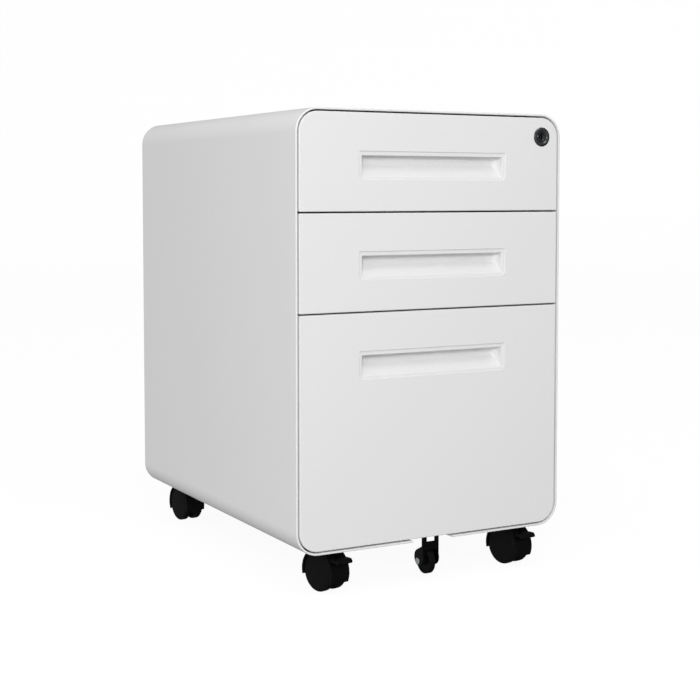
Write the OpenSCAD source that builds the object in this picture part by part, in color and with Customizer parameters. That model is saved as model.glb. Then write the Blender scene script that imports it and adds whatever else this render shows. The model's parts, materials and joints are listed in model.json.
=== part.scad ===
// Mobile metal filing cabinet: two small drawers over one file drawer, on casters.
// Origin on the floor under the middle of the cabinet; drawer fronts face -Y, +Z is up.

/* [Cabinet] */
// Width of the shell
cabinet_w = 390; // [350:1:470]
// Depth of the shell, front rim to back edge
cabinet_d = 520; // [500:1:640]
// Height of the shell
body_h = 545; // [500:1:660]
// Height of the shell's underside above the floor
floor_gap = 55; // [55:1:80]
// Outer radius of the shell's four long edges
corner_r = 30; // [18:1:40]
// Thickness of the sheet steel
sheet = 1.2; // [0.8:0.1:1.6]
// Width of the folded rim round the front
rim_w = 2.5; // [2:0.1:4]
// Depth of the folded rim
rim_d = 12; // [8:1:16]
// Depth of the back panel's flange
back_flange = 14; // [8:1:20]

/* [Drawers] */
// Height of each of the two small drawer fronts
small_front_h = 121; // [110:1:150]
// Gap round the drawer fronts
front_gap = 2; // [1.5:0.1:4]
// Depth of the drawer front's folded edge
front_d = 18; // [16:1:24]
// Thickness of the drawer box's sheet
box_sheet = 1; // [0.8:0.1:1.5]
// Length of the drawer box
box_d = 450; // [380:1:460]
// Distance from the bottom of a front up to its box
box_lift = 12; // [8:1:20]
// Distance from the top of a front down to its box's top edge
box_drop = 38; // [36:1:44]
// Travel of each drawer
drawer_travel = 430; // [300:1:440]

/* [Slides] */
// Height of a telescopic slide
slide_h = 45; // [40:1:46]
// Thickness of a telescopic slide
slide_t = 12.7; // [12:0.1:14]
// Length of a telescopic slide
slide_l = 450; // [440:1:460]
// Thickness of the slide's steel
slide_sheet = 1.2; // [1:0.1:1.5]
// Diameter of the slide's balls
ball_d = 3.2; // [3:0.1:3.3]
// Depth of the posts that carry the slides
post_t = 15; // [15:1:24]
// Width of the posts that carry the slides
post_w = 30; // [20:1:40]

/* [Pulls] */
// Width of the opening in a drawer front for its pull
pull_w = 215; // [140:1:260]
// Height of the opening in a drawer front for its pull
pull_h = 34; // [30:1:40]
// Width of the ledge round the finger cup
pull_ledge = 4; // [3:0.5:6]
// Depth of the finger cup
cup_d = 15; // [12:0.5:15.5]
// Distance from the top of a front down to its pull
pull_drop = 47.5; // [44:0.5:52]

/* [Lock] */
// Distance from the cabinet's right side to the lock's axis
lock_inset = 30; // [30:0.5:34]
// Distance from the top of the front down to the lock's axis
lock_drop = 25; // [24:0.5:26]
// Diameter of the lock's face
lock_face_d = 25; // [22:0.5:28]
// Diameter of the lock's barrel
lock_barrel_d = 19; // [17:0.5:20]
// Diameter of the turning plug
plug_d = 12; // [10:0.5:13]
// How far the lock's face stands proud of the front
lock_proud = 1.5; // [1:0.1:2.5]
// Travel of the bar that locks the drawers
lock_travel = 8; // [6:0.5:10]

/* [Casters] */
// Diameter of the caster wheels
wheel_d = 50; // [46:1:50]
// Width of one caster wheel
wheel_w = 10; // [9:0.5:16]
// Space between the two wheels of a caster
wheel_gap = 10; // [10:0.5:16]
// Distance between a caster's swivel and its axle
trail = 19; // [17:0.5:22]
// Distance of the caster stems from the middle of the cabinet
stem_x = 140; // [110:1:145]
// Distance of the caster stems from the front and the back
stem_y = 56; // [54:1:70]
// Heading of the front left caster, turned from straight ahead
front_left_heading = 13; // [-30:1:30]
// Heading of the front right caster
front_right_heading = 10; // [-30:1:30]
// Heading of the rear left caster
rear_left_heading = 186; // [150:1:210]
// Heading of the rear right caster
rear_right_heading = 174; // [150:1:210]
// Diameter of the stem's thread
stem_d = 8; // [7:0.5:10]
// Diameter of the pin that the caster swivels on
swivel_pin_d = 6; // [5:0.5:6]
// Diameter of the caster's axle
axle_d = 6; // [5:0.5:8]

/* [Anti-tip wheel] */
// Diameter of the wheel under the file drawer
tip_wheel_d = 34; // [30:1:36]
// Height of that wheel above the floor
tip_wheel_lift = 8; // [6:1:12]
// Width of that wheel's tyre
tip_wheel_w = 9; // [7:0.5:14]
// Outer width of its bracket
tip_bracket_w = 24; // [20:1:34]
// Thickness of its bracket's steel
tip_sheet = 1.5; // [1.2:0.1:2]
// Width of the notch in the shell for the bracket
notch_w = 60; // [56:1:80]

/* [Hidden] */
$fn = 64;
cut = 1;                      // how far a cut runs past the face it opens
running = 0.05;               // radial clearance of a shaft that turns in a bore
slack = 0.3;                  // clearance between parts that slide past each other

front_y = lock_proud / 2 - cabinet_d / 2;
back_y = front_y + cabinet_d;
body_z = floor_gap;
half_in = cabinet_w / 2 - sheet;           // inner face of the shell's side

// drawers, from the top down
DRAWERS = ["top", "middle", "file"];
file_front_h = body_h - 2 * (rim_w + front_gap) - 2 * (small_front_h + front_gap);
front_h = [small_front_h, small_front_h, file_front_h];
file_z = body_z + rim_w + front_gap;
middle_z = file_z + file_front_h + front_gap;
front_z = [middle_z + small_front_h + front_gap, middle_z, file_z];
front_w = cabinet_w - 2 * (rim_w + front_gap);
front_r = corner_r - rim_w - front_gap;

box_y = front_y + front_d;
post_x = half_in - post_t;                 // face of a post that carries slides
box_half = post_x - slide_t;               // outer face of a drawer box's side
function box_z(i) = front_z[i] + box_lift;
function box_h(i) = front_h[i] - box_lift - box_drop;
function slide_z(i) = box_z(i) + box_h(i) / 2;

// slides: three nested channels with balls between them
slide_y = box_y + 2;
member_step = slide_sheet + ball_d + 0.2;  // height from one member's lip to the next
slide_depths = [[0, slide_t - 1.7], [1 + slide_sheet, slide_t - 2.2], [3.2 + slide_sheet, slide_t]];
cage_l = 100;
cage_y = slide_y + 120;
cage_balls = 6;
cage_t = 1;

posts_y = [front_y + 45, slide_y + slide_l - 10 - post_w];
post_z = body_z + corner_r;
post_h = body_h - 2 * corner_r;

// pulls
pull_flange = 4;                           // how far the cup's flange laps behind the front
pull_wall = 1;
pull_corner = 5.5;
cup_w = pull_w - 2 * pull_ledge;
cup_z = pull_ledge - 1;                    // bottom of the cup's mouth above the opening's edge
cup_h = pull_h - 2 * pull_ledge;           // height of the cup's mouth
cup_rise = 0.55 * cup_h;                   // height that the cup's floor climbs
cup_undercut = 8;                          // finger room above the mouth
cup_corner = 9;                            // radius of the cup's two back corners
function pull_z(i) = front_z[i] + front_h[i] - pull_drop - pull_h;

// lock
lock_x = cabinet_w / 2 - lock_inset;
lock_z = front_z[0] + front_h[0] - lock_drop;
barrel_l = 20;
pin_at = lock_travel / 2;                  // the cam's pin, right of and above the axis
pin_r = 1.8;
pin_reach = sqrt(2) * pin_at;
cam_t = 2;
cam_r = 8;
cam_y = front_y + barrel_l + slack;
bar_t = 1.5;
bar_w = 10;
bar_x = post_x + 2.2;
bar_y = front_y + barrel_l + slack + cam_t + 1.7;
tab_reach = 5;                             // how far the bar's tabs reach towards the drawers
tab_h = 8;
catch_reach = slide_t - 0.2;
catch_h = 6;
catch_y = bar_y + 10;
catch_l = 10;
function catch_z(i) = slide_z(i) + slide_h / 2 + 2;
function tab_z(i) = catch_z(i) + catch_h + 2;
guides_z = [slide_z(1) - 60, slide_z(1) + 75];
guide_h = 12;

// casters
axle_z = wheel_d / 2;
fender_r = axle_z + 1.2;
fender_t = 2.3;
caster_w = 2 * wheel_w + wheel_gap;
web_w = wheel_gap - 1;
fender_ends = [25, 15];                    // how far below the axle the hood's two ends reach
stem_flange_t = 2.5;
hood_top = floor_gap - stem_flange_t - 0.5;
neck_r = 8;
pin_end = axle_z + 8;                      // lower end of the swivel pin
plate_w = 50;
plate_t = 2.5;
CASTERS = ["front_left", "front_right", "rear_left", "rear_right"];
stems = [
    [-stem_x, front_y + stem_y, front_left_heading],
    [stem_x, front_y + stem_y, front_right_heading],
    [-stem_x, back_y - stem_y, rear_left_heading],
    [stem_x, back_y - stem_y, rear_right_heading]
];

// brake lever of a front caster, in the caster's own frame
lever_pivot = [-trail - 12, axle_z + 12];
lever_w = 5;
lever_pin_r = 1.5;
lever_l = 24;
lever_tab_w = 26;

// anti-tip wheel
tip_y = front_y + 18;
tip_z = tip_wheel_lift + tip_wheel_d / 2;
tip_axle_r = 3;
tip_lobe_r = 11;
tip_lobe_at = [tip_y - 2, tip_z + 5];
tip_web_y = front_y + 6;
tip_web_z = tip_z + tip_wheel_d / 2 - 1;
tip_shoulder_z = tip_web_z + 5;
notch_d = 45;

// ---- drawing planes and outlines ----

// An outline in X and Z, made solid along Y
module along_y(y, length) {
    translate([0, y + length, 0]) rotate([90, 0, 0]) linear_extrude(length) children();
}

// An outline in Y and Z, made solid along X
module along_x(x, length) {
    translate([x, 0, 0]) rotate([90, 0, 90]) linear_extrude(length) children();
}

module mirrored() {
    children();
    mirror([1, 0, 0]) children();
}

// A rectangle on the X axis with its top and its bottom corners rounded
module outline(w, h, r_top = 0, r_bottom = 0) {
    difference() {
        translate([-w / 2, 0]) square([w, h]);
        if (r_top > 0) translate([0, h]) mirror([0, 1]) corner_cuts(w, r_top);
        if (r_bottom > 0) corner_cuts(w, r_bottom);
    }
}

// What a radius takes off the two bottom corners of a rectangle
module corner_cuts(w, r) {
    mirrored() difference() {
        translate([w / 2 - r, -cut]) square([r + cut, r + cut]);
        translate([w / 2 - r, r]) circle(r);
    }
}

module shell_outline(inset) {
    r = corner_r - inset;
    translate([0, body_z + inset]) outline(cabinet_w - 2 * inset, body_h - 2 * inset, r, r);
}

module box_xyz(low, high) {
    translate(low) cube(high - low);
}

// ---- cabinet ----

module shell() {
    color("whitesmoke") difference() {
        union() {
            along_y(front_y, cabinet_d) difference() {
                shell_outline(0);
                shell_outline(sheet);
            }
            along_y(front_y, rim_d) difference() {
                shell_outline(sheet / 2);
                shell_outline(rim_w);
            }
        }
        along_y(front_y - cut, notch_d + cut) translate([0, body_z]) polygon([
            [-notch_w / 2 + 1, -cut], [notch_w / 2 - 1, -cut],
            [notch_w / 2 + 1, rim_w + cut], [-notch_w / 2 - 1, rim_w + cut]
        ]);
        for (s = stems)
            translate([s[0], s[1], body_z - cut]) cylinder(d = stem_d, h = sheet + 2 * cut);
    }
}

module back_panel() {
    recess = 1.5;
    color("whitesmoke") difference() {
        along_y(back_y - recess - back_flange, back_flange) shell_outline(sheet);
        along_y(back_y - recess - back_flange - cut, back_flange - sheet + cut)
            shell_outline(2 * sheet);
    }
}

module slide_posts() {
    color("gainsboro") for (y = posts_y) mirrored() difference() {
        box_xyz([post_x, y, post_z], [half_in, y + post_w, post_z + post_h]);
        box_xyz([post_x + sheet, y + sheet, post_z - cut],
                [half_in + cut, y + post_w - sheet, post_z + post_h + cut]);
    }
}

module caster_plates() {
    color("gainsboro") for (s = stems) translate([s[0], s[1], body_z + sheet]) difference() {
        translate([-plate_w / 2, -plate_w / 2, 0]) cube([plate_w, plate_w, plate_t]);
        translate([0, 0, -cut]) cylinder(d = stem_d, h = plate_t + 2 * cut);
    }
}

module caster_stems() {
    nut_t = 5;
    inside = sheet + plate_t + nut_t;
    color("silver") for (s = stems) translate([s[0], s[1], 0]) {
        translate([0, 0, pin_end]) cylinder(d = swivel_pin_d, h = body_z - pin_end);
        translate([0, 0, body_z - stem_flange_t])
            cylinder(d = stem_d, h = inside + stem_flange_t);
        translate([0, 0, body_z - stem_flange_t]) cylinder(r = stem_d, h = stem_flange_t);
        translate([0, 0, body_z + inside - nut_t]) cylinder(r = 0.9 * stem_d, h = nut_t, $fn = 6);
    }
}

// Two clips on the shell's right side that the lock bar runs in
module lock_bar_guides() {
    wall = 1.2;
    color("gainsboro") for (z = guides_z) difference() {
        box_xyz([bar_x - slack - wall, bar_y - slack - wall, z],
                [half_in, bar_y + bar_w + slack + wall, z + guide_h]);
        box_xyz([bar_x - slack, bar_y - slack, z - cut],
                [bar_x + bar_t + slack, bar_y + bar_w + slack, z + guide_h + cut]);
    }
}

// ---- slides ----

// One channel of a slide pair; step 0 is the outer member, 2 the inner one
module slide_members(i, step) {
    half = slide_h / 2 - step * member_step;
    depths = slide_depths[step];
    // the inner member's web is on the drawer's side, the others' on the cabinet's
    hollow = step == 2
        ? [depths[0] - cut, depths[1] - slide_sheet]
        : [depths[0] + slide_sheet, depths[1] + cut];
    color("silver") mirrored() translate([post_x, slide_y, slide_z(i)]) mirror([1, 0, 0])
        difference() {
            box_xyz([depths[0], 0, -half], [depths[1], slide_l, half]);
            box_xyz([hollow[0], -cut, slide_sheet - half],
                    [hollow[1], slide_l + cut, half - slide_sheet]);
        }
}

// The two strips of balls between one member and the next, on both sides
module slide_balls(i, step) {
    height = slide_h / 2 - step * member_step - slide_sheet - ball_d / 2 - 0.1;
    depth = (slide_depths[step + 1][0] + slide_depths[step][1]) / 2;
    pitch = cage_l / cage_balls;
    color("goldenrod") mirrored() for (side = [-1, 1])
        translate([post_x - depth, cage_y, slide_z(i) + side * height]) {
            box_xyz([-2, 0, -cage_t / 2], [2, cage_l, cage_t / 2]);
            for (n = [0:cage_balls - 1])
                translate([0, (n + 0.5) * pitch, 0]) sphere(d = ball_d, $fn = 24);
        }
}

// ---- drawers ----

module drawer_front(i) {
    r_top = i == 0 ? front_r : 0;
    r_bottom = i == 2 ? front_r : 0;
    color("white") difference() {
        along_y(front_y, front_d) translate([0, front_z[i]])
            outline(front_w, front_h[i], r_top, r_bottom);
        along_y(front_y + sheet, front_d) translate([0, front_z[i] + sheet])
            outline(front_w - 2 * sheet, front_h[i] - 2 * sheet,
                    max(r_top - sheet, 0), max(r_bottom - sheet, 0));
        along_y(front_y - cut, sheet + 2 * cut) translate([0, pull_z(i)])
            outline(pull_w, pull_h, 0, pull_corner);
        if (i == 0) translate([lock_x, front_y - cut, lock_z]) rotate([-90, 0, 0])
            cylinder(d = lock_barrel_d, h = sheet + 2 * cut);
        if (i == 2) // clears the anti-tip bracket
            box_xyz([-tip_bracket_w / 2 - 2, front_y + sheet + cut, front_z[i] - cut],
                    [tip_bracket_w / 2 + 2, front_y + front_d + cut, front_z[i] + sheet + cut]);
    }
}

// The finger cup's hollow, or with grow its outside; y and z from the mouth's lower edge
module cup_space(grow) {
    deep = cup_d - pull_wall + grow;
    intersection() {
        along_x(-pull_w, 2 * pull_w) polygon([
            [-cut, -grow], [0, -grow], [deep, cup_rise - grow],
            [deep, cup_h + cup_undercut + grow], [0, cup_h + grow], [-cut, cup_h + grow]
        ]);
        translate([0, -cut, -pull_h]) linear_extrude(3 * pull_h)
            outline(cup_w + 2 * grow, deep + cut, cup_corner + grow);
    }
}

module drawer_pull(i) {
    color("white") translate([0, front_y + sheet, pull_z(i)]) difference() {
        union() {
            along_y(0, pull_wall) translate([0, -pull_flange])
                outline(pull_w + 2 * pull_flange, pull_h + 2 * pull_flange, 2, 2);
            intersection() {
                translate([0, 0, cup_z]) cup_space(pull_wall);
                translate([-pull_w, 0, -pull_h]) cube([2 * pull_w, cup_d, 3 * pull_h]);
            }
        }
        translate([0, 0, cup_z]) cup_space(0);
    }
}

module drawer_box(i) {
    h = box_h(i);
    color("whitesmoke") {
        difference() {
            box_xyz([-box_half, box_y, box_z(i)], [box_half, box_y + box_d, box_z(i) + h]);
            box_xyz([box_sheet - box_half, box_y + box_sheet, box_z(i) + box_sheet],
                    [box_half - box_sheet, box_y + box_d - box_sheet, box_z(i) + h + cut]);
        }
        // catch that the lock bar drops in front of
        box_xyz([box_half - box_sheet, catch_y, catch_z(i)],
                [box_half + catch_reach, catch_y + catch_l, catch_z(i) + catch_h]);
    }
}

// Rails that hanging files hook over, along the file drawer's sides
module hanging_rails() {
    rail_t = 3;
    rail_h = 14;
    top = box_z(2) + box_h(2);
    color("silver") mirrored() box_xyz(
        [box_half - box_sheet - rail_t, box_y + box_sheet, top - rail_h],
        [box_half - box_sheet, box_y + box_d - box_sheet, top + 3]);
}

// ---- lock ----

// Things of the lock are drawn along +Z from the front's face and turned to point back
module at_lock(y) {
    translate([lock_x, y, lock_z]) rotate([-90, 0, 0]) children();
}

module lock_housing() {
    color("silver") difference() {
        union() {
            at_lock(front_y - lock_proud) cylinder(d = lock_face_d, h = lock_proud);
            at_lock(front_y) cylinder(d = lock_barrel_d, h = barrel_l);
        }
        at_lock(front_y - lock_proud - cut)
            cylinder(r = plug_d / 2 + running, h = barrel_l + lock_proud + 2 * cut);
    }
}

module lock_nut() {
    color("silver") at_lock(front_y + sheet) difference() {
        cylinder(d = lock_barrel_d + 7, h = 3, $fn = 6);
        translate([0, 0, -cut]) cylinder(d = lock_barrel_d, h = 3 + 2 * cut);
    }
}

module lock_plug() {
    face_y = front_y - lock_proud + 0.5;
    color("dimgray") difference() {
        at_lock(face_y) cylinder(d = plug_d, h = cam_y - face_y);
        box_xyz([lock_x - 0.8, face_y - cut, lock_z - 3.5], [lock_x + 0.8, face_y + 6, lock_z + 3.5]);
    }
}

module lock_cam() {
    color("silver") {
        along_y(cam_y, cam_t) translate([lock_x, lock_z]) {
            circle(r = cam_r);
            rotate(45) translate([0, -3]) square([pin_reach, 6]);
            translate([pin_at, pin_at]) circle(r = 3);
        }
        translate([pin_at, 0, pin_at]) at_lock(cam_y + cam_t)
            cylinder(r = pin_r, h = bar_y - cam_y - cam_t + bar_t + 1);
    }
}

// Flat bar with a slotted plate that the cam drives
module lock_bar() {
    slot_slack = 0.5;
    plate_low = lock_z + pin_at - 6;
    color("silver") difference() {
        union() {
            box_xyz([bar_x, bar_y, tab_z(2) - tab_h],
                    [bar_x + bar_t, bar_y + bar_w, plate_low + 12]);
            box_xyz([lock_x - 2, bar_y, plate_low], [bar_x + bar_t, bar_y + bar_t, plate_low + 12]);
        }
        box_xyz([lock_x + pin_at - pin_r - slot_slack, bar_y - cut,
                 lock_z + pin_at - pin_r - slot_slack],
                [lock_x + pin_reach + pin_r + slot_slack, bar_y + bar_t + cut,
                 lock_z + pin_at + pin_r + slot_slack]);
    }
}

// A tab for each drawer, welded to the bar's inner face
module lock_bar_tabs() {
    for (i = [0:2]) color("silver")
        box_xyz([bar_x - tab_reach, bar_y + bar_t, tab_z(i)],
                [bar_x, bar_y + 2 * bar_t, tab_z(i) + tab_h]);
}

// ---- anti-tip wheel ----

module anti_tip_bracket() {
    half = tip_bracket_w / 2;
    color("black") {
        along_y(tip_web_y, tip_sheet) difference() {
            translate([-half, tip_web_z]) square([2 * half, box_z(2) - tip_web_z]);
            translate([6 - half, floor_gap - 3]) square([2 * half - 12, 12]);
        }
        mirrored() along_x(half - tip_sheet, tip_sheet) difference() {
            union() {
                translate([tip_web_y, tip_lobe_at[1]])
                    square([2 * tip_sheet, box_z(2) - tip_lobe_at[1]]);
                polygon([
                    [tip_web_y, tip_lobe_at[1]], [tip_web_y, tip_shoulder_z],
                    [tip_web_y + 2 * tip_sheet, tip_shoulder_z],
                    tip_lobe_at + tip_lobe_r * [sin(20), cos(20)], tip_lobe_at
                ]);
                translate([tip_web_y, front_z[2] + 1])
                    square([tip_lobe_r + 5, box_z(2) - front_z[2] - 1]);
                translate(tip_lobe_at) circle(r = tip_lobe_r);
            }
            translate([tip_y, tip_z]) circle(r = tip_axle_r);
        }
        difference() {
            union() {
                box_xyz([-half - 12, box_y + 1, box_z(2) - tip_sheet],
                        [half + 12, box_y + 30, box_z(2)]);
                box_xyz([-half, tip_web_y, box_z(2) - tip_sheet], [half, box_y + 2, box_z(2)]);
            }
            tip_screw_places() translate([0, 0, -cut]) cylinder(d = 4, h = tip_sheet + 2 * cut);
        }
    }
}

module tip_screw_places() {
    for (side = [-1, 1])
        translate([side * (tip_bracket_w / 2 + 6), box_y + 15, box_z(2) - tip_sheet]) children();
}

module anti_tip_axle() {
    half = tip_bracket_w / 2;
    color("silver") translate([0, tip_y, tip_z]) rotate([0, 90, 0]) {
        translate([0, 0, -half]) cylinder(r = tip_axle_r, h = 2 * half);
        for (z = [-half - 1.2, half]) translate([0, 0, z]) cylinder(r = tip_axle_r + 1.5, h = 1.2);
    }
}

module anti_tip_wheel() {
    hub_w = tip_bracket_w - 2 * tip_sheet - 2;
    bore_r = tip_axle_r + running;
    color("black") translate([0, tip_y, tip_z]) rotate([0, 90, 0]) {
        translate([0, 0, -tip_wheel_w / 2])
            rotate_extrude() wheel_section(tip_wheel_d / 2, bore_r, tip_wheel_w);
        translate([0, 0, -hub_w / 2]) difference() {
            cylinder(r = tip_axle_r + 3, h = hub_w);
            translate([0, 0, -cut]) cylinder(r = bore_r, h = hub_w + 2 * cut);
        }
    }
}

module anti_tip_screws() {
    color("silver") tip_screw_places() {
        cylinder(d = 4, h = tip_sheet);
        translate([0, 0, -2]) cylinder(d = 7.5, h = 2);
    }
}

// Half section of a wheel with rounded tread edges; x is the radius
module wheel_section(r, bore_r, w, blind = 0) {
    edge = 2;
    difference() {
        union() {
            square([r, w - edge]);
            square([r - edge, w]);
            translate([r - edge, w - edge]) circle(r = edge);
        }
        translate([-cut, -cut]) square([bore_r + cut, w - blind + cut]);
        difference() {
            translate([r - edge, -cut]) square([edge + cut, edge + cut]);
            translate([r - edge, edge]) circle(r = edge);
        }
    }
}

// ---- casters ----

// The caster's own frame: swivel axis at the origin, wheels trailing towards -Y
module at_caster(i) {
    translate([stems[i][0], stems[i][1], 0]) rotate([0, 0, stems[i][2]]) children();
}

module caster_hood(i, braked) {
    outer = fender_r + fender_t;
    color("black") at_caster(i) difference() {
        union() {
            along_x(-caster_w / 2, caster_w) hood_profile(outer);
            translate([0, 0, axle_z]) cylinder(r = neck_r, h = hood_top - axle_z);
        }
        for (side = [0, 1]) mirror([side, 0, 0])
            along_x(web_w / 2, caster_w) translate([-trail, axle_z]) circle(r = fender_r);
        translate([0, 0, pin_end - 0.5]) cylinder(d = swivel_pin_d + 2 * running, h = hood_top);
        along_x(-web_w, 2 * web_w) translate([-trail, axle_z]) circle(d = axle_d);
        if (braked) lever_room();
    }
}

// Side view of the hood: a disc round the axle, open at the bottom
module hood_profile(r) {
    translate([-trail, axle_z]) {
        difference() {
            circle(r = r);
            polygon([
                [0, 0], 2 * r * [cos(fender_ends[1]), -sin(fender_ends[1])],
                [0, -3 * r], 2 * r * [-cos(fender_ends[0]), -sin(fender_ends[0])]
            ]);
        }
        circle(r = axle_d);
    }
}

module lever_room() {
    room = lever_w / 2 + slack;
    along_x(-room, 2 * room) {
        translate(lever_pivot) circle(r = 5);
        translate([lever_pivot[0] - 30, lever_pivot[1] - 2]) square([30, 11]);
    }
    along_x(-web_w, 2 * web_w) translate(lever_pivot) circle(r = lever_pin_r + running);
}

module brake_lever(i) {
    y = lever_pivot[0];
    z = lever_pivot[1];
    tip = y - lever_l;
    color("black") at_caster(i) {
        along_x(-lever_w / 2, lever_w) {
            translate(lever_pivot) circle(r = 3.5);
            polygon([
                [y, z - 1], [y - 10, z + 2.5], [tip + 2, z + 4.5], [tip + 2, z + 7.5],
                [y - 8, z + 7], [y, z + 3.5]
            ]);
        }
        along_x(-lever_tab_w / 2, lever_tab_w) polygon([
            [y - 13.5, z + 4.5], [tip + 3, z + 4.5], [tip, z + 2], [tip - 0.5, z + 4.5],
            [tip + 2, z + 7.5], [y - 13.5, z + 7.5]
        ]);
        along_x(0.2 - web_w / 2, web_w - 0.4) translate(lever_pivot) circle(r = lever_pin_r);
    }
}

module caster_axle(i) {
    half = wheel_gap / 2 + wheel_w - 3;
    color("silver") at_caster(i) along_x(-half, 2 * half)
        translate([-trail, axle_z]) circle(d = axle_d);
}

module caster_wheel(i, side) {
    color("black") at_caster(i) translate([side * wheel_gap / 2, -trail, axle_z])
        rotate([0, side * 90, 0]) rotate_extrude()
            wheel_section(axle_z, axle_d / 2 + running, wheel_w, 2.5);
}

shell();
back_panel();
slide_posts();
caster_plates();
caster_stems();
lock_bar_guides();
for (i = [0:2]) {
    drawer_front(i);
    drawer_pull(i);
    drawer_box(i);
    slide_members(i, 0);
    slide_balls(i, 0);
    slide_members(i, 1);
    slide_balls(i, 1);
    slide_members(i, 2);
}
hanging_rails();
anti_tip_bracket();
anti_tip_axle();
anti_tip_wheel();
anti_tip_screws();
lock_housing();
lock_nut();
lock_plug();
lock_cam();
lock_bar();
lock_bar_tabs();
for (i = [0:3]) {
    caster_hood(i, i < 2);
    caster_axle(i);
    caster_wheel(i, -1);
    caster_wheel(i, 1);
}
brake_lever(0);  // front_left_brake_lever
brake_lever(1);  // front_right_brake_lever
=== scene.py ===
import json
import math

import bmesh
import bpy
from mathutils import Matrix, Vector


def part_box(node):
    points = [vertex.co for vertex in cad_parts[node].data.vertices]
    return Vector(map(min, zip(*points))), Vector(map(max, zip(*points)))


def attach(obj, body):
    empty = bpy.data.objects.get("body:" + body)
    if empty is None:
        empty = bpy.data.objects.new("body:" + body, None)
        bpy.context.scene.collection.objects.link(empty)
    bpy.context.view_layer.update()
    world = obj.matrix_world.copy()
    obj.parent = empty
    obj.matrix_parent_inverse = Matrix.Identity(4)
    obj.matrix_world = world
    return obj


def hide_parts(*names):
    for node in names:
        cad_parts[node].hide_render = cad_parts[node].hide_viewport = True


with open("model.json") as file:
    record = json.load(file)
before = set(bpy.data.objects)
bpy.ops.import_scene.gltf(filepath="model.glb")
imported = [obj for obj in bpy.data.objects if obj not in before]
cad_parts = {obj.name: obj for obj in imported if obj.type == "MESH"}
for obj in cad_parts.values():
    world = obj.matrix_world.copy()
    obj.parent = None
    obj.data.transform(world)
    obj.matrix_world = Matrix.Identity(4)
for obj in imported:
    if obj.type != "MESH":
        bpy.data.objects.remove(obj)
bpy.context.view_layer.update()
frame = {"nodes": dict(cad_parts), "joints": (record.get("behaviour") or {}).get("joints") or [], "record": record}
nodes = frame["nodes"]
mm = 0.001
drawers = ["top", "middle", "file"]
casters = ["front_left", "front_right", "rear_left", "rear_right"]
joints = {joint["name"]: joint for joint in frame["joints"]}
shellLow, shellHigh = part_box("shell")
frontY = shellLow.y
backY = shellHigh.y
sheet = 1.2 * mm  # the shell's and fronts' sheet steel


def linear(hexColour):
    channels = [int(hexColour[i:i + 2], 16) / 255 for i in (1, 3, 5)]
    return [c / 12.92 if c <= 0.04045 else ((c + 0.055) / 1.055) ** 2.4 for c in channels] + [1.0]


def addNode(tree, kind, settings=None, inputs=None):
    node = tree.nodes.new(kind)
    for name, value in (settings or {}).items():
        setattr(node, name, value)
    for socket, value in (inputs or {}).items():
        if isinstance(value, bpy.types.NodeSocket):
            tree.links.new(value, node.inputs[socket])
        else:
            node.inputs[socket].default_value = value
    return node


def addObject(name, mesh):
    piece = bpy.data.objects.new(name, mesh)
    bpy.context.scene.collection.objects.link(piece)
    return piece


def fromBmesh(name, bm, flip=False):
    bmesh.ops.remove_doubles(bm, verts=bm.verts, dist=0.002 * mm)
    bmesh.ops.recalc_face_normals(bm, faces=bm.faces)
    if flip:
        bmesh.ops.reverse_faces(bm, faces=bm.faces)
    mesh = bpy.data.meshes.new(name)
    bm.to_mesh(mesh)
    bm.free()
    return addObject(name, mesh)


def settle(piece):  # makes the modifiers' result the piece's own mesh
    graph = bpy.context.evaluated_depsgraph_get()
    mesh = bpy.data.meshes.new_from_object(piece.evaluated_get(graph))
    piece.modifiers.clear()
    piece.data = mesh
    mesh.name = piece.name
    return piece


def joined(name, pieces):
    bm = bmesh.new()
    for piece in pieces:
        bm.from_mesh(piece.data)
        bpy.data.objects.remove(piece)
    mesh = bpy.data.meshes.new(name)
    bm.to_mesh(mesh)
    bm.free()
    return addObject(name, mesh)


def cutBy(piece, cutter, operation="DIFFERENCE"):
    boolean = piece.modifiers.new("cut", "BOOLEAN")
    boolean.object = cutter
    boolean.operation = operation
    boolean.solver = "EXACT"
    settle(piece)
    bpy.data.objects.remove(cutter)
    return piece


def thicken(piece, thickness, offset=-1):
    solid = piece.modifiers.new("wall", "SOLIDIFY")
    solid.thickness = thickness
    solid.offset = offset
    solid.use_even_offset = True
    return settle(piece)


def roundEdges(piece, width, segments=2, angle=30):
    bevel = piece.modifiers.new("edges", "BEVEL")
    bevel.width = width
    bevel.segments = segments
    bevel.limit_method = "ANGLE"
    bevel.angle_limit = math.radians(angle)
    bevel.use_clamp_overlap = True
    return settle(piece)


def finish(piece, body, slot, replaced=(), angle=32):
    piece.data.materials.clear()
    piece.data.materials.append(finishes[slot])
    piece.data.shade_smooth()
    piece.data.set_sharp_from_angle(angle=math.radians(angle))
    even = piece.modifiers.new("evenNormals", "WEIGHTED_NORMAL")
    even.keep_sharp = True
    even.weight = 100
    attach(piece, body)
    if replaced:
        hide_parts(*replaced)
    return piece


def roundRect(left, right, low, high, rTop, rBottom, steps=8):
    corners = [
        (right - rBottom, low + rBottom, rBottom, 270),
        (right - rTop, high - rTop, rTop, 0),
        (left + rTop, high - rTop, rTop, 90),
        (left + rBottom, low + rBottom, rBottom, 180),
    ]
    points = []
    for x, z, radius, start in corners:
        for k in range(steps + 1):
            a = math.radians(start + 90 * k / steps)
            points.append((x + radius * math.cos(a), z + radius * math.sin(a)))
    return points


def inXZ(points, y):
    return [Vector((x, y, z)) for x, z in points]


def inXY(points, z):
    return [Vector((x, y, z)) for x, y in points]


def quarter(radius, steps=4):  # (inset, depth) from the side round to the face
    angles = [math.pi / 2 * k / steps for k in range(steps + 1)]
    return [(radius * (1 - math.cos(a)), radius * (1 - math.sin(a))) for a in angles]


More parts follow.
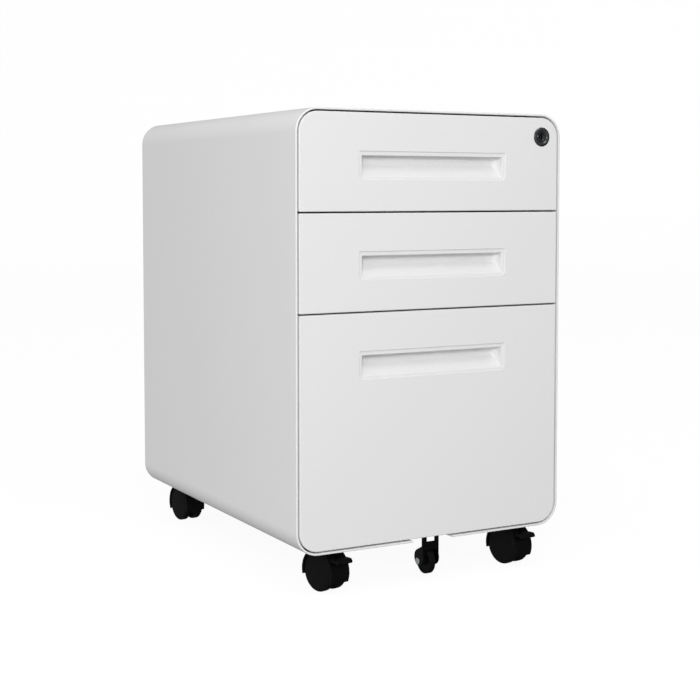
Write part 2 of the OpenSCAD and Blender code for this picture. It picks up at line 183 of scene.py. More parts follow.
def loft(bm, rings, closed=False, capFirst=False, capLast=False):
    rows = [[bm.verts.new(point) for point in ring] for ring in rings]
    pairs = list(zip(rows, rows[1:]))
    if closed:
        pairs.append((rows[-1], rows[0]))
    for a, b in pairs:
        for i in range(len(a)):
            j = (i + 1) % len(a)
            bm.faces.new((a[i], a[j], b[j], b[i]))
    if capFirst:
        bm.faces.new(rows[0])
    if capLast:
        bm.faces.new(rows[-1])
    return rows


def fillBetween(bm, rows):  # a flat face bounded by the outer ring, with the other rings as holes
    edges = []
    for row in rows:
        edges += [bm.edges.get((row[i], row[(i + 1) % len(row)])) for i in range(len(row))]
    bmesh.ops.triangle_fill(bm, use_beauty=True, use_dissolve=False, edges=edges)


def lathe(name, profile, segments=48, closed=False):  # radius and height pairs, round the local Z axis
    bm = bmesh.new()
    rings = []
    for radius, height in profile:
        turns = [2 * math.pi * k / segments for k in range(segments)]
        rings.append([Vector((radius * math.cos(t), radius * math.sin(t), height)) for t in turns])
    loft(bm, rings, closed=closed, capFirst=not closed, capLast=not closed)
    return fromBmesh(name, bm)


def place(piece, origin, axis, spin=0.0):  # turns local Z to the axis and moves the mesh there
    turn = Vector(axis).to_track_quat("Z", "Y").to_matrix().to_4x4()
    piece.data.transform(Matrix.Translation(origin) @ turn @ Matrix.Rotation(spin, 4, "Z"))
    return piece


def prism(name, outline, low, high, plane="XZ"):  # an outline made solid across its plane
    bm = bmesh.new()
    lift = {"XZ": inXZ, "XY": inXY, "YZ": lambda pts, x: [Vector((x, y, z)) for y, z in pts]}[plane]
    loft(bm, [lift(outline, low), lift(outline, high)], capFirst=True, capLast=True)
    return fromBmesh(name, bm)


def block(name, low, high):
    outline = [(low[0], low[2]), (high[0], low[2]), (high[0], high[2]), (low[0], high[2])]
    return prism(name, outline, low[1], high[1])


def newFinish(name):
    material = bpy.data.materials.new(name)
    material.use_nodes = True
    tree = material.node_tree
    shader = tree.nodes["Principled BSDF"]
    spot = addNode(tree, "ShaderNodeTexCoord").outputs["Object"]
    return material, tree, shader, spot


def noise(tree, vector, size, detail=2.0, roughness=0.5):  # size is the pattern's grain in metres
    inputs = {"Vector": vector, "Scale": 1 / size, "Detail": detail, "Roughness": roughness}
    return addNode(tree, "ShaderNodeTexNoise", {}, inputs).outputs["Fac"]


def blend(tree, factor, low, high):  # two colours mixed by a pattern
    ramp = addNode(tree, "ShaderNodeValToRGB", {}, {"Fac": factor})
    ramp.color_ramp.elements[0].position = 0.35
    ramp.color_ramp.elements[1].position = 0.65
    ramp.color_ramp.elements[0].color = linear(low)
    ramp.color_ramp.elements[1].color = linear(high)
    return ramp.outputs["Color"]


def span(tree, factor, low, high):  # a pattern stretched to a range of values
    inputs = {"Value": factor, "From Min": 0.3, "From Max": 0.7, "To Min": low, "To Max": high}
    return addNode(tree, "ShaderNodeMapRange", {}, inputs).outputs["Result"]


def bump(tree, height, distance, strength, before=None):
    inputs = {"Height": height, "Distance": distance, "Strength": strength}
    if before is not None:
        inputs["Normal"] = before
    return addNode(tree, "ShaderNodeBump", {}, inputs).outputs["Normal"]


whiteCoat = {"light": "#ececec", "dark": "#e7e7e7", "roughness": (0.42, 0.5), "peel": 1.6 * mm,
             "grain": 0.55 * mm, "patch": 90 * mm}


def powderCoat(name, look):
    # Polyester powder coat on steel, baked: satin white with a fine pebbled skin. The peel is drawn
    # about twice as coarse as the real 0.8 mm so that it shows.
    material, tree, shader, spot = newFinish(name)
    patches = noise(tree, spot, look["patch"], 3.0)
    peel = noise(tree, spot, look["peel"], 2.0, 0.6)
    grain = noise(tree, spot, look["grain"], 1.0)
    shader.inputs["IOR"].default_value = 1.5
    shader.inputs["Specular IOR Level"].default_value = 0.4
    tree.links.new(blend(tree, peel, look["dark"], look["light"]), shader.inputs["Base Color"])
    tree.links.new(span(tree, patches, *look["roughness"]), shader.inputs["Roughness"])
    skin = bump(tree, peel, 0.05 * mm, 0.5)
    tree.links.new(bump(tree, grain, 0.02 * mm, 0.4, skin), shader.inputs["Normal"])
    return material


zincLook = {"light": "#cfd3d6", "dark": "#aeb4b8", "spangle": 6 * mm, "streak": 0.8 * mm,
            "roughness": (0.26, 0.42)}


def zincPlate(name, look):
    # Bright zinc electroplate on steel: cool grey metal with soft patches and faint drawing lines
    material, tree, shader, spot = newFinish(name)
    patches = noise(tree, spot, look["spangle"], 3.0, 0.6)
    drawn = addNode(tree, "ShaderNodeMapping", {}, {"Vector": spot, "Scale": (1.0, 0.04, 1.0)})
    lines = noise(tree, drawn.outputs["Vector"], look["streak"], 2.0)
    shader.inputs["Metallic"].default_value = 1.0
    tree.links.new(blend(tree, patches, look["dark"], look["light"]), shader.inputs["Base Color"])
    tree.links.new(span(tree, lines, *look["roughness"]), shader.inputs["Roughness"])
    tree.links.new(bump(tree, lines, 0.01 * mm, 0.4), shader.inputs["Normal"])
    return material


def brightMetal(name, look):
    # Polished plate: chrome, nickel or bare ball steel, with hairline wipe marks
    material, tree, shader, spot = newFinish(name)
    marks = noise(tree, spot, look["mark"], 4.0, 0.7)
    shader.inputs["Metallic"].default_value = 1.0
    tree.links.new(blend(tree, marks, look["dark"], look["light"]), shader.inputs["Base Color"])
    tree.links.new(span(tree, marks, *look["roughness"]), shader.inputs["Roughness"])
    tree.links.new(bump(tree, marks, 0.004 * mm, 0.2), shader.inputs["Normal"])
    return material


def blackSkin(name, look):
    # Moulded nylon or black stove enamel: deep black, the skin broken by fine mould texture
    material, tree, shader, spot = newFinish(name)
    texture = noise(tree, spot, look["texture"], 2.0, 0.6)
    rub = noise(tree, spot, look["rub"], 4.0, 0.65)
    shader.inputs["Specular IOR Level"].default_value = look["gloss"]
    shader.inputs["IOR"].default_value = 1.53
    tree.links.new(blend(tree, rub, look["dark"], look["light"]), shader.inputs["Base Color"])
    tree.links.new(span(tree, rub, *look["roughness"]), shader.inputs["Roughness"])
    tree.links.new(bump(tree, texture, look["depth"], 0.5), shader.inputs["Normal"])
    return material


chromeLook = {"light": "#626365", "dark": "#4b4c4e", "mark": 1.5 * mm, "roughness": (0.12, 0.2)}
plugLook = {"light": "#4a4a4b", "dark": "#363637", "mark": 0.9 * mm, "roughness": (0.14, 0.24)}
ballLook = {"light": "#d9d8d4", "dark": "#c6c5c1", "mark": 1.0 * mm, "roughness": (0.1, 0.2)}
hoodLook = {"light": "#0c0c0d", "dark": "#070708", "texture": 0.5 * mm, "rub": 7 * mm,
            "gloss": 0.07, "roughness": (0.42, 0.55), "depth": 0.03 * mm}
wheelLook = {"light": "#0d0d0e", "dark": "#08080a", "texture": 0.8 * mm, "rub": 5 * mm,
             "gloss": 0.07, "roughness": (0.5, 0.62), "depth": 0.03 * mm}
stoveLook = {"light": "#060606", "dark": "#040404", "texture": 1.2 * mm, "rub": 9 * mm,
             "gloss": 0.06, "roughness": (0.25, 0.36), "depth": 0.02 * mm}
drawerCoat = dict(whiteCoat, light="#e8e8e7", dark="#e3e3e2")

finishes = {
    "cabinet_enamel": powderCoat("whitePowderCoat", whiteCoat),
    "drawer_enamel": powderCoat("drawerPowderCoat", drawerCoat),
    "zinc_plate": zincPlate("brightZinc", zincLook),
    "ball_steel": brightMetal("ballSteel", ballLook),
    "lock_chrome": brightMetal("blackChrome", chromeLook),
    "lock_plug_metal": brightMetal("darkNickel", plugLook),
    "caster_nylon": blackSkin("mouldedNylon", hoodLook),
    "wheel_nylon": blackSkin("wheelNylon", wheelLook),
    "bracket_enamel": blackSkin("blackStoveEnamel", stoveLook),
}
slotOf = {part["node"]: part["material_slot"] for part in frame["record"]["subparts"]}
for name, node in nodes.items():  # the CAD nodes that stay get their finish too
    node.data.materials.clear()
    node.data.materials.append(finishes[slotOf[name]])
print("finishes made")

shellLook = {"corner": 30 * mm, "rim": 2.5 * mm, "rimDepth": 12 * mm, "outerBend": 1.0 * mm,
             "innerBend": 0.7 * mm, "notch": 60 * mm, "notchLean": 1 * mm, "notchDepth": 45 * mm}


def shellRing(inset, y, steps=18):
    radius = shellLook["corner"] - inset
    low, high = shellLow, shellHigh
    return inXZ(roundRect(low.x + inset, high.x - inset, low.z + inset, high.z - inset,
                          radius, radius, steps), y)


def makeShell():
    look = shellLook
    wall = [(0, backY)]
    wall += [(inset, frontY + depth) for inset, depth in quarter(look["outerBend"])]
    wall += [(look["rim"] - inset, frontY + depth) for inset, depth in reversed(quarter(look["innerBend"]))]
    wall += [(look["rim"], frontY + look["rimDepth"]), (sheet, frontY + look["rimDepth"]), (sheet, backY)]
    bm = bmesh.new()
    loft(bm, [shellRing(inset, y) for inset, y in wall], closed=True)
    shell = fromBmesh("shellWrap", bm)
    half, lean = look["notch"] / 2, look["notchLean"]
    low, high = shellLow.z - 2 * mm, shellLow.z + look["rim"] + 2 * mm
    notch = [(-half + lean, low), (half - lean, low), (half + lean, high), (-half - lean, high)]
    cutBy(shell, prism("notch", notch, frontY - 5 * mm, frontY + look["notchDepth"]))
    return finish(shell, "cabinet", "cabinet_enamel", ["shell"])


makeShell()

backLook = {"recess": 1.5 * mm, "flange": 14 * mm, "bend": 1.6 * mm, "beadInset": 34 * mm,
            "beadStep": 0.9 * mm, "beadSlope": 2.4 * mm, "leastCorner": 6 * mm}


def makeBackPanel():
    look = backLook
    face = backY - look["recess"]
    start = face - look["flange"]
    profile = [(sheet, start)]
    profile += [(sheet + inset, face - depth) for inset, depth in quarter(look["bend"])]
    bead = sheet + look["beadInset"]
    profile += [(bead, face), (bead + look["beadSlope"] / 2, face + look["beadStep"] * 0.6),
                (bead + look["beadSlope"], face + look["beadStep"])]
    rings = []
    for inset, y in profile:
        radius = max(shellLook["corner"] - inset, look["leastCorner"])
        outline = roundRect(shellLow.x + inset, shellHigh.x - inset, shellLow.z + inset,
                            shellHigh.z - inset, radius, radius, 10)
        rings.append(inXZ(outline, y))
    bm = bmesh.new()
    loft(bm, rings, capLast=True)
    panel = fromBmesh("backPan", bm)
    thicken(panel, sheet)
    return finish(panel, "cabinet", "cabinet_enamel", ["back_panel"])


makeBackPanel()
print("shell and back made")

frontLook = {"bend": 1.3 * mm, "squareCorner": 1.7 * mm, "roundCorner": 25.5 * mm, "depth": 18 * mm,
             "holeBend": 1.0 * mm, "holeTop": 0.6 * mm, "lockHole": 9.5 * mm, "lockBend": 0.4 * mm,
             "bracketHalf": 14 * mm, "bracketFrom": 2.4 * mm, "bracketTo": 30 * mm}
pullLook = {"width": 215 * mm, "height": 34 * mm, "drop": 47.5 * mm, "corner": 5.5 * mm, "flange": 4 * mm,
            "ledgeSide": 4 * mm, "ledgeBottom": 3 * mm, "ledgeTop": 5 * mm, "lip": 0.9 * mm, "deep": 14 * mm,
            "rise": 14.3 * mm, "undercut": 8 * mm, "backCorner": 9 * mm, "backFillet": 0.9 * mm,
            "crease": 0.9 * mm, "wall": 1 * mm}
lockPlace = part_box("lock_housing")
lockX = (lockPlace[0].x + lockPlace[1].x) / 2
lockZ = (lockPlace[0].z + lockPlace[1].z) / 2


def pullBottom(drawer):
    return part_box(drawer + "_drawer_front")[1].z - pullLook["drop"] - pullLook["height"]


def makeFront(drawer):
    look = frontLook
    low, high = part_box(drawer + "_drawer_front")
    rTop = look["roundCorner"] if drawer == "top" else look["squareCorner"]
    rBottom = look["roundCorner"] if drawer == "file" else look["squareCorner"]

    def ring(inset, y):
        return inXZ(roundRect(low.x + inset, high.x - inset, low.z + inset, high.z - inset,
                              rTop - inset, rBottom - inset, 14), y)

    bm = bmesh.new()
    skirt = [ring(0, frontY + look["depth"])]
    skirt += [ring(inset, frontY + depth) for inset, depth in quarter(look["bend"])]
    rims = [loft(bm, skirt)[-1]]
    bottom = pullBottom(drawer)
    half = pullLook["width"] / 2
    corner = pullLook["corner"]
    top = bottom + pullLook["height"]
    hole = []
    for inset, depth in quarter(look["holeBend"]):
        outline = roundRect(-half - inset, half + inset, bottom - inset, top + inset,
                            look["holeTop"] + inset, corner + inset, 8)
        hole.append(inXZ(outline, frontY + depth))
    rims.append(loft(bm, hole)[-1])
    if drawer == "top":
        turns = [2 * math.pi * k / 40 for k in range(40)]
        circles = []
        for inset, depth in quarter(look["lockBend"], 2):
            r = look["lockHole"] + inset
            circles.append([Vector((lockX + r * math.cos(t), frontY + depth, lockZ + r * math.sin(t)))
                            for t in turns])
        rims.append(loft(bm, circles)[-1])
    fillBetween(bm, rims)
    front = fromBmesh(drawer + "DrawerFace", bm)
    if front.data.polygons and sum(p.normal.y * p.area for p in front.data.polygons) > 0:
        front.data.flip_normals()
    thicken(front, sheet)
    if drawer == "file":  # the lower flange opens for the fifth wheel's bracket
        side, near = look["bracketHalf"], look["bracketFrom"]
        cutBy(front, block("bracketRoom", (-side, frontY + near, low.z - 2 * mm),
                           (side, frontY + look["bracketTo"], low.z + near)))
    return finish(front, drawer + "_drawer", "cabinet_enamel", [drawer + "_drawer_front"])


def backRound(radius, depth):  # how far a wall has curved in at a depth, near the cup's back
    past = depth - (pullLook["deep"] - radius)
    if past <= 0:
        return 0.0
    return radius - math.sqrt(max(radius * radius - past * past, 0.0))


def makePull(drawer):
    look = pullLook
    bottom = pullBottom(drawer)
    half = look["width"] / 2
    face = frontY + sheet
    mouthHalf = half - look["ledgeSide"]
    mouthLow = bottom + look["ledgeBottom"]
    mouthHigh = bottom + look["height"] - look["ledgeTop"]
    flange = look["flange"]
    outline = roundRect(-half - flange, half + flange, bottom - flange,
                        bottom + look["height"] + flange, 2 * mm, 2 * mm, 6)
    rings = [inXZ(outline, face)]
    for grow, depth in reversed(quarter(look["lip"])):
        radius = look["crease"] + grow
        outline = roundRect(-mouthHalf - grow, mouthHalf + grow, mouthLow - grow,
                            mouthHigh + grow, radius, radius, 6)
        rings.append(inXZ(outline, face + depth))
    steps = 14
    for k in range(1, steps + 1):
        t = look["lip"] + (look["deep"] - look["lip"]) * math.sin(math.pi / 2 * k / steps)
        share = (t - look["lip"]) / (look["deep"] - look["lip"])
        across = mouthHalf - backRound(look["backCorner"], t)
        low = mouthLow + look["rise"] * share + backRound(look["backFillet"], t) / 2
        high = mouthHigh + look["undercut"] * share - backRound(look["backFillet"], t)
        outline = roundRect(-across, across, low, high, look["crease"], look["crease"], 6)
        rings.append(inXZ(outline, face + t))
    bm = bmesh.new()
    loft(bm, rings, capLast=True)
    pull = fromBmesh(drawer + "FingerPull", bm)
    if sum(p.normal.y * p.area for p in pull.data.polygons) > 0:
        pull.data.flip_normals()
    thicken(pull, look["wall"])
    return finish(pull, drawer + "_drawer", "cabinet_enamel", [drawer + "_drawer_pull"], angle=28)


for drawer in drawers:
    makeFront(drawer)
    makePull(drawer)
print("fronts and pulls made")

lockLook = {"face": 12.5 * mm, "proud": 1.5 * mm, "edge": 0.25 * mm, "land": 9.9 * mm, "dish": 8.9 * mm,
            "dishDepth": 0.9 * mm, "cone": 5.2 * mm, "coneDepth": 1.3 * mm, "coneFloor": 2.6 * mm,
            "plug": 6 * mm, "plugSet": 0.5 * mm, "barrel": 9.5 * mm, "length": 20 * mm, "slotW": 1.6 * mm,
            "slotH": 7 * mm, "slotDepth": 5 * mm}


def makeLock():
    look = lockLook
    face = look["proud"]
    bore = look["plug"] + 0.05 * mm
    profile = [(bore, -look["length"]), (look["barrel"], -look["length"]), (look["barrel"], 0)]
    profile.append((look["face"], 0))
    profile += [(look["face"] - inset, 2 * look["edge"] - depth)
                for inset, depth in quarter(look["edge"])]
    for k in range(1, 5):  # the turned slope, a little hollow
        share = k / 4
        rise = math.sin(math.pi / 2 * share) ** 1.1
        profile.append((look["face"] - look["edge"] - (look["face"] - look["edge"] - look["land"]) * share,
                        2 * look["edge"] + (face - 2 * look["edge"]) * rise))
    profile += [(look["dish"], face), (look["dish"] - 1.5 * mm, face - look["dishDepth"]),
                (look["plug"] + 0.9 * mm, face - look["dishDepth"]),
                (look["plug"] + 0.6 * mm, face - 0.45 * mm), (bore + 0.2 * mm, face - 0.45 * mm),
                (bore, face - 0.7 * mm)]
    housing = place(lathe("lockBarrel", profile, 64, closed=True), (lockX, frontY, lockZ), (0, -1, 0))
    finish(housing, "top_drawer", "lock_chrome", ["lock_housing"], angle=25)
    low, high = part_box("lock_plug")
    top = face - look["plugSet"]
    tail = -(high.y - frontY)
    profile = [(0.01 * mm, tail), (look["plug"], tail)]
    profile += [(look["plug"] - inset, top - depth) for inset, depth in quarter(0.4 * mm, 3)]
    profile += [(look["cone"], top), (look["coneFloor"], top - look["coneDepth"]),
                (0.01 * mm, top - look["coneDepth"])]
    plug = place(lathe("lockKeyPlug", profile, 48), (lockX, frontY, lockZ), (0, -1, 0))
    slot = roundRect(lockX - look["slotW"] / 2, lockX + look["slotW"] / 2, lockZ - look["slotH"] / 2,
                     lockZ + look["slotH"] / 2, 0.3 * mm, 0.3 * mm, 3)
    cutBy(plug, prism("keySlot", slot, frontY - 3 * mm, frontY + look["slotDepth"]))
    finish(plug, "lock_plug", "lock_plug_metal", ["lock_plug"], angle=25)


makeLock()
print("lock made")

wheelShape = {"radius": 25 * mm, "width": 10 * mm, "tread": 1.8 * mm, "dome": 0.8 * mm,
              "bore": 3.05 * mm, "hub": 7 * mm, "webFrom": 20.5 * mm, "webDepth": 4.5 * mm,
              "groove": 0.5 * mm, "capWall": 2.5 * mm, "gap": 5 * mm}


def axisOf(jointName):
    joint = joints[jointName]
    return Vector(joint["pos_m"]), Vector(joint["axis"]).normalized()


def wheelProfile(shape):  # radius and distance outwards from the inner face
    width, radius, tread = shape["width"], shape["radius"], shape["tread"]
    profile = [(shape["bore"], 0), (shape["hub"], 0), (shape["hub"] + 0.8 * mm, shape["webDepth"]),
               (shape["webFrom"], shape["webDepth"]), (shape["webFrom"] + 0.8 * mm, 0.3 * mm)]
    profile += [(radius - inset, depth) for inset, depth in reversed(quarter(tread, 5))]
    face = width - shape["dome"]
    profile += [(radius - inset, face - depth) for inset, depth in quarter(tread, 5)]
    rim = radius - tread - 0.7 * mm
    groove = shape["groove"]
    profile += [(rim, face), (rim - groove, face - 0.9 * groove), (rim - 2 * groove, face)]
    for k in range(1, 7):
        r = (rim - 2 * groove) * (1 - k / 7)
        profile.append((r, face + shape["dome"] * (1 - (r / rim) ** 2)))
    inside = width - shape["capWall"]
    return profile + [(0.02 * mm, width), (0.02 * mm, inside), (shape["bore"], inside)]


def makeCasterWheels(caster):
    for side, sign in (("left", -1), ("right", 1)):
        name = f"{caster}_caster_{side}_wheel"
        centre, axis = axisOf(name + "_spin")
        wheel = lathe(f"{caster}_{side}_tread", wheelProfile(wheelShape), 72, closed=True)
        place(wheel, centre + axis * sign * wheelShape["gap"], axis * sign)
        finish(wheel, name, "wheel_nylon", [name], angle=28)


def softened(node, radius, segments=2, angle=30):  # a copy of a CAD node with its edges rounded
    bm = bmesh.new()
    bm.from_mesh(nodes[node].data)
    bmesh.ops.remove_doubles(bm, verts=bm.verts, dist=0.01 * mm)
    bmesh.ops.dissolve_limit(bm, angle_limit=math.radians(0.6), verts=bm.verts, edges=bm.edges)
    mesh = bpy.data.meshes.new(node)
    bm.to_mesh(mesh)
    bm.free()
    return roundEdges(addObject(node + "_made", mesh), radius, segments, angle)


for caster in casters:
    makeCasterWheels(caster)
print("caster wheels made")

bodyOf = {}
for body, members in frame["record"]["behaviour"]["bodies"].items():
    for node in members:
        bodyOf[node] = body
# how far each remaining CAD node's edges are rounded, in mm
edgeRadius = {"slide_posts": 0.5, "caster_plates": 0.5, "caster_stems": 0.3, "lock_bar_guides": 0.3,
              "hanging_rails": 0.6, "anti_tip_bracket": 0.4, "anti_tip_axle": 0.4, "anti_tip_screws": 0.4,
              "lock_nut": 0.4, "lock_cam": 0.3, "lock_bar": 0.4, "lock_bar_tabs": 0.3}
for caster in casters:
    edgeRadius[caster + "_caster_hood"] = 0.6
    edgeRadius[caster + "_caster_axle"] = 0.4
for side in ("left", "right"):
    edgeRadius[f"front_{side}_brake_lever"] = 0.6
for drawer in drawers:
    for member in ("outers", "middles", "inners"):
        edgeRadius[f"{drawer}_slide_{member}"] = 0.3
    edgeRadius[drawer + "_drawer_box"] = 0.3
for node, radius in edgeRadius.items():
    finish(softened(node, radius * mm), bodyOf[node], slotOf[node], [node])
print("frame parts rounded")

tipShape = {"radius": 17 * mm, "width": 9 * mm, "tread": 1.5 * mm, "hub": 6 * mm,
            "hubWidth": 19 * mm, "hubEdge": 0.4 * mm, "webStep": 1 * mm, "rim": 3 * mm,
            "bore": 3.05 * mm, "groove": 0.6 * mm}


def makeTipWheel():
    shape = tipShape
    centre, axis = axisOf("anti_tip_wheel_spin")
    radius, hub = shape["radius"], shape["hub"]
    half, hubHalf = shape["width"] / 2, shape["hubWidth"] / 2
    edge, web, rim = shape["hubEdge"], shape["webStep"], shape["rim"]
    groove = shape["groove"]
    profile = [(shape["bore"], -hubHalf), (hub - edge, -hubHalf), (hub, -hubHalf + edge),
               (hub, -half + web), (radius - rim - web, -half + web), (radius - rim, -half)]
    profile += [(radius - inset, depth - half) for inset, depth in reversed(quarter(shape["tread"]))]
    profile += [(radius, -groove), (radius - groove, 0), (radius, groove)]
    profile += [(radius - inset, half - depth) for inset, depth in quarter(shape["tread"])]
    profile += [(radius - rim, half), (radius - rim - web, half - web), (hub, half - web),
                (hub, hubHalf - edge), (hub - edge, hubHalf), (shape["bore"], hubHalf)]
    wheel = place(lathe("tipTread", profile, 56, closed=True), centre, axis)
    finish(wheel, "anti_tip_wheel", "wheel_nylon", ["anti_tip_wheel"], angle=28)


makeTipWheel()
print("fifth wheel made")

screwShape = {"head": 3.4 * mm, "height": 1.5 * mm, "edge": 0.3 * mm, "cross": 0.9 * mm,
              "crossLong": 3.8 * mm, "crossDeep": 0.9 * mm}


def makeScrewHead():
    shape = screwShape
    edge = shape["edge"]
    profile = [(0.02 * mm, 0), (shape["head"], 0), (shape["head"], edge)]
    for k in range(1, 6):
        a = math.pi / 2 * k / 6
        profile.append((shape["head"] * math.cos(a), edge + (shape["height"] - edge) * math.sin(a)))
    profile.append((0.02 * mm, shape["height"]))
    head = lathe("screwHead", profile, 24)
    top = shape["height"]
    floor = top - shape["crossDeep"]
    for across, along in ((shape["cross"], shape["crossLong"]), (shape["crossLong"], shape["cross"])):
        low, high = (-across / 2, -along / 2, floor), (across / 2, along / 2, top + 1 * mm)
        cutBy(head, block("crossCut", low, high))
    return head


def screwRowTree():
    tree = bpy.data.node_groups.new("screwRow", "GeometryNodeTree")
    wanted = [("Screw", "NodeSocketObject"), ("Count", "NodeSocketInt"), ("Start", "NodeSocketVector"),
              ("Step", "NodeSocketVector"), ("Facing", "NodeSocketVector"), ("Finish", "NodeSocketMaterial")]
    for name, kind in wanted:
        tree.interface.new_socket(name, in_out="INPUT", socket_type=kind)
    tree.interface.new_socket("Geometry", in_out="OUTPUT", socket_type="NodeSocketGeometry")
    given = addNode(tree, "NodeGroupInput").outputs
    line = addNode(tree, "GeometryNodeMeshLine", {"mode": "OFFSET"},
                   {"Count": given["Count"], "Start Location": given["Start"], "Offset": given["Step"]})
    head = addNode(tree, "GeometryNodeObjectInfo", {"transform_space": "ORIGINAL"},
                   {"Object": given["Screw"]})
    turn = addNode(tree, "FunctionNodeAlignRotationToVector", {"axis": "Z"},
                   {"Vector": given["Facing"]})
    spin = addNode(tree, "FunctionNodeRandomValue", {"data_type": "FLOAT"}, {"Seed": 7})
    spin.inputs[2].default_value = 0.0
    spin.inputs[3].default_value = 3.0
    twist = addNode(tree, "FunctionNodeAxisAngleToRotation", {},
                    {"Axis": (0, 0, 1), "Angle": spin.outputs[1]})
    both = addNode(tree, "FunctionNodeRotateRotation", {"rotation_space": "LOCAL"},
                   {"Rotation": turn.outputs["Rotation"], "Rotate By": twist.outputs["Rotation"]})
    heads = addNode(tree, "GeometryNodeInstanceOnPoints", {},
                    {"Points": line.outputs["Mesh"], "Instance": head.outputs["Geometry"],
                     "Rotation": both.outputs["Rotation"]})
    real = addNode(tree, "GeometryNodeRealizeInstances", {}, {"Geometry": heads.outputs["Instances"]})
    shown = addNode(tree, "GeometryNodeSetMaterial", {},
                    {"Geometry": real.outputs["Geometry"], "Material": given["Finish"]})
    addNode(tree, "NodeGroupOutput", {}, {"Geometry": shown.outputs["Geometry"]})
    return tree


screwHead = makeScrewHead()
rowTree = screwRowTree()


def screwRow(start, step, count, facing):
    row = addObject("row", bpy.data.meshes.new("row"))
    modifier = row.modifiers.new("screws", "NODES")
    modifier.node_group = rowTree
    sockets = [item for item in rowTree.interface.items_tree if item.in_out == "INPUT"]
    names = {socket.name: socket.identifier for socket in sockets}
    modifier[names["Screw"]] = screwHead
    modifier[names["Count"]] = count
    modifier[names["Start"]] = start
    modifier[names["Step"]] = step
    modifier[names["Facing"]] = facing
    modifier[names["Finish"]] = finishes["zinc_plate"]
    return settle(row)


# where the rows of screws run: inset from the back's edges, first screw, and pitch
rowLook = {"inset": 16 * mm, "upFrom": 60 * mm, "upPitch": 106 * mm, "acrossPitch": 90 * mm,
           "slideFrom": 40 * mm, "slidePitch": 110 * mm}


def makeScrews():
    look = rowLook
    face = backY - backLook["recess"]
    pitch = look["acrossPitch"]
    rows = []
    for x in (shellLow.x + look["inset"], shellHigh.x - look["inset"]):
        start = (x, face, shellLow.z + look["upFrom"])
        rows.append(screwRow(start, (0, 0, look["upPitch"]), 5, (0, 1, 0)))
    for z in (shellLow.z + look["inset"], shellHigh.z - look["inset"]):
        rows.append(screwRow((-pitch, face, z), (pitch, 0, 0), 3, (0, 1, 0)))
    finish(joined("backScrews", rows), "cabinet", "zinc_plate")
    for drawer in drawers:
        low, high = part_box(drawer + "_slide_inners")
        z = (low.z + high.z) / 2
        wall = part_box(drawer + "_drawer_box")[1].x + sheet
        rows = []
        for outward in (-1, 1):
            start = (outward * wall, low.y + look["slideFrom"], z)
            rows.append(screwRow(start, (0, look["slidePitch"], 0), 4, (outward, 0, 0)))
        finish(joined(drawer + "SlideScrews", rows), drawer + "_drawer", "zinc_plate")


makeScrews()
bpy.data.objects.remove(screwHead)
print("screws made")

studioLook = {"floor": 0.93, "catch": 0.1, "reach": 9.0, "height": 7.0, "round": 2.0}
worldLook = {"base": 0.415, "up": 0.18, "front": 0.16, "left": 0.285}
lampLooks = [
    {"name": "keySoftbox", "at": (-1.25, -2.2, 1.1), "size": 0.6, "watts": 25.8},
    {"name": "overheadSoftbox", "at": (0.3, -1.6, 2.6), "size": 1.4, "watts": 10.3},
]
cameraLook = {"lens": 72.2, "at": (-942.2 * mm, -1760.3 * mm, 495.4 * mm), "yaw": 28.675, "pitch": -3.49,
              "shift": -0.10}


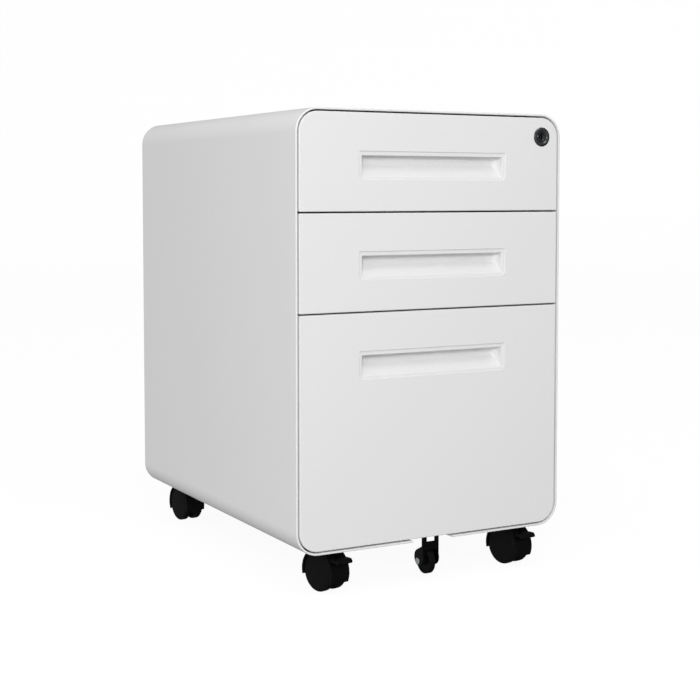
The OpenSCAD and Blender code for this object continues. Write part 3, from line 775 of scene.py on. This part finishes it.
def makeFloor():
    look = studioLook
    reach, radius = look["reach"], look["round"]
    profile = [(0.05, 0), (reach - radius, 0)]
    for k in range(1, 9):
        a = math.pi / 2 * k / 8
        profile.append((reach - radius + radius * math.sin(a), radius * (1 - math.cos(a))))
    profile += [(reach, look["height"]), (0.05, look["height"] + 1)]
    floor = lathe("studioFloor", profile, 64)
    material = bpy.data.materials.new("paleFloor")
    material.use_nodes = True
    tree = material.node_tree
    tree.nodes.clear()
    glow = addNode(tree, "ShaderNodeEmission", {}, {"Color": (1, 1, 1, 1), "Strength": look["floor"]})
    dull = addNode(tree, "ShaderNodeBsdfDiffuse", {}, {"Color": (look["catch"],) * 3 + (1,)})
    both = addNode(tree, "ShaderNodeAddShader")
    tree.links.new(glow.outputs[0], both.inputs[0])
    tree.links.new(dull.outputs[0], both.inputs[1])
    addNode(tree, "ShaderNodeOutputMaterial", {}, {"Surface": both.outputs[0]})
    floor.data.materials.append(material)
    floor.visible_diffuse = False
    floor.visible_glossy = False
    floor.visible_shadow = False


def makeWorld():
    look = worldLook
    world = bpy.data.worlds.new("softStudio")
    bpy.context.scene.world = world
    world.use_nodes = True
    tree = world.node_tree
    tree.nodes.clear()
    way = addNode(tree, "ShaderNodeTexCoord").outputs["Generated"]
    weights = addNode(tree, "ShaderNodeVectorMath", {"operation": "DOT_PRODUCT"},
                      {0: way, 1: (-look["left"], -look["front"], look["up"])})
    total = addNode(tree, "ShaderNodeMath", {"operation": "ADD"},
                    {0: weights.outputs["Value"], 1: look["base"]})
    light = addNode(tree, "ShaderNodeBackground", {},
                    {"Color": (1, 1, 1, 1), "Strength": total.outputs[0]})
    addNode(tree, "ShaderNodeOutputWorld", {}, {"Surface": light.outputs[0]})


def makeLamps():
    target = Vector((0, 0, 0.32))
    for look in lampLooks:
        lamp = bpy.data.lights.new(look["name"], "AREA")
        lamp.shape = "SQUARE"
        lamp.size = look["size"]
        lamp.energy = look["watts"]
        holder = bpy.data.objects.new(look["name"], lamp)
        bpy.context.scene.collection.objects.link(holder)
        holder.location = look["at"]
        holder.rotation_euler = (target - Vector(look["at"])).to_track_quat("-Z", "Y").to_euler()


def makeCamera():
    look = cameraLook
    camera = bpy.data.cameras.new("camera")
    camera.lens = look["lens"]
    camera.sensor_width = 36
    camera.shift_y = look["shift"]
    holder = bpy.data.objects.new("camera", camera)
    bpy.context.scene.collection.objects.link(holder)
    holder.location = look["at"]
    holder.rotation_euler = (math.radians(90 + look["pitch"]), 0, math.radians(-look["yaw"]))
    bpy.context.scene.camera = holder


makeFloor()
makeWorld()
makeLamps()
makeCamera()
bpy.context.scene.view_settings.view_transform = "Standard"
print("studio made")
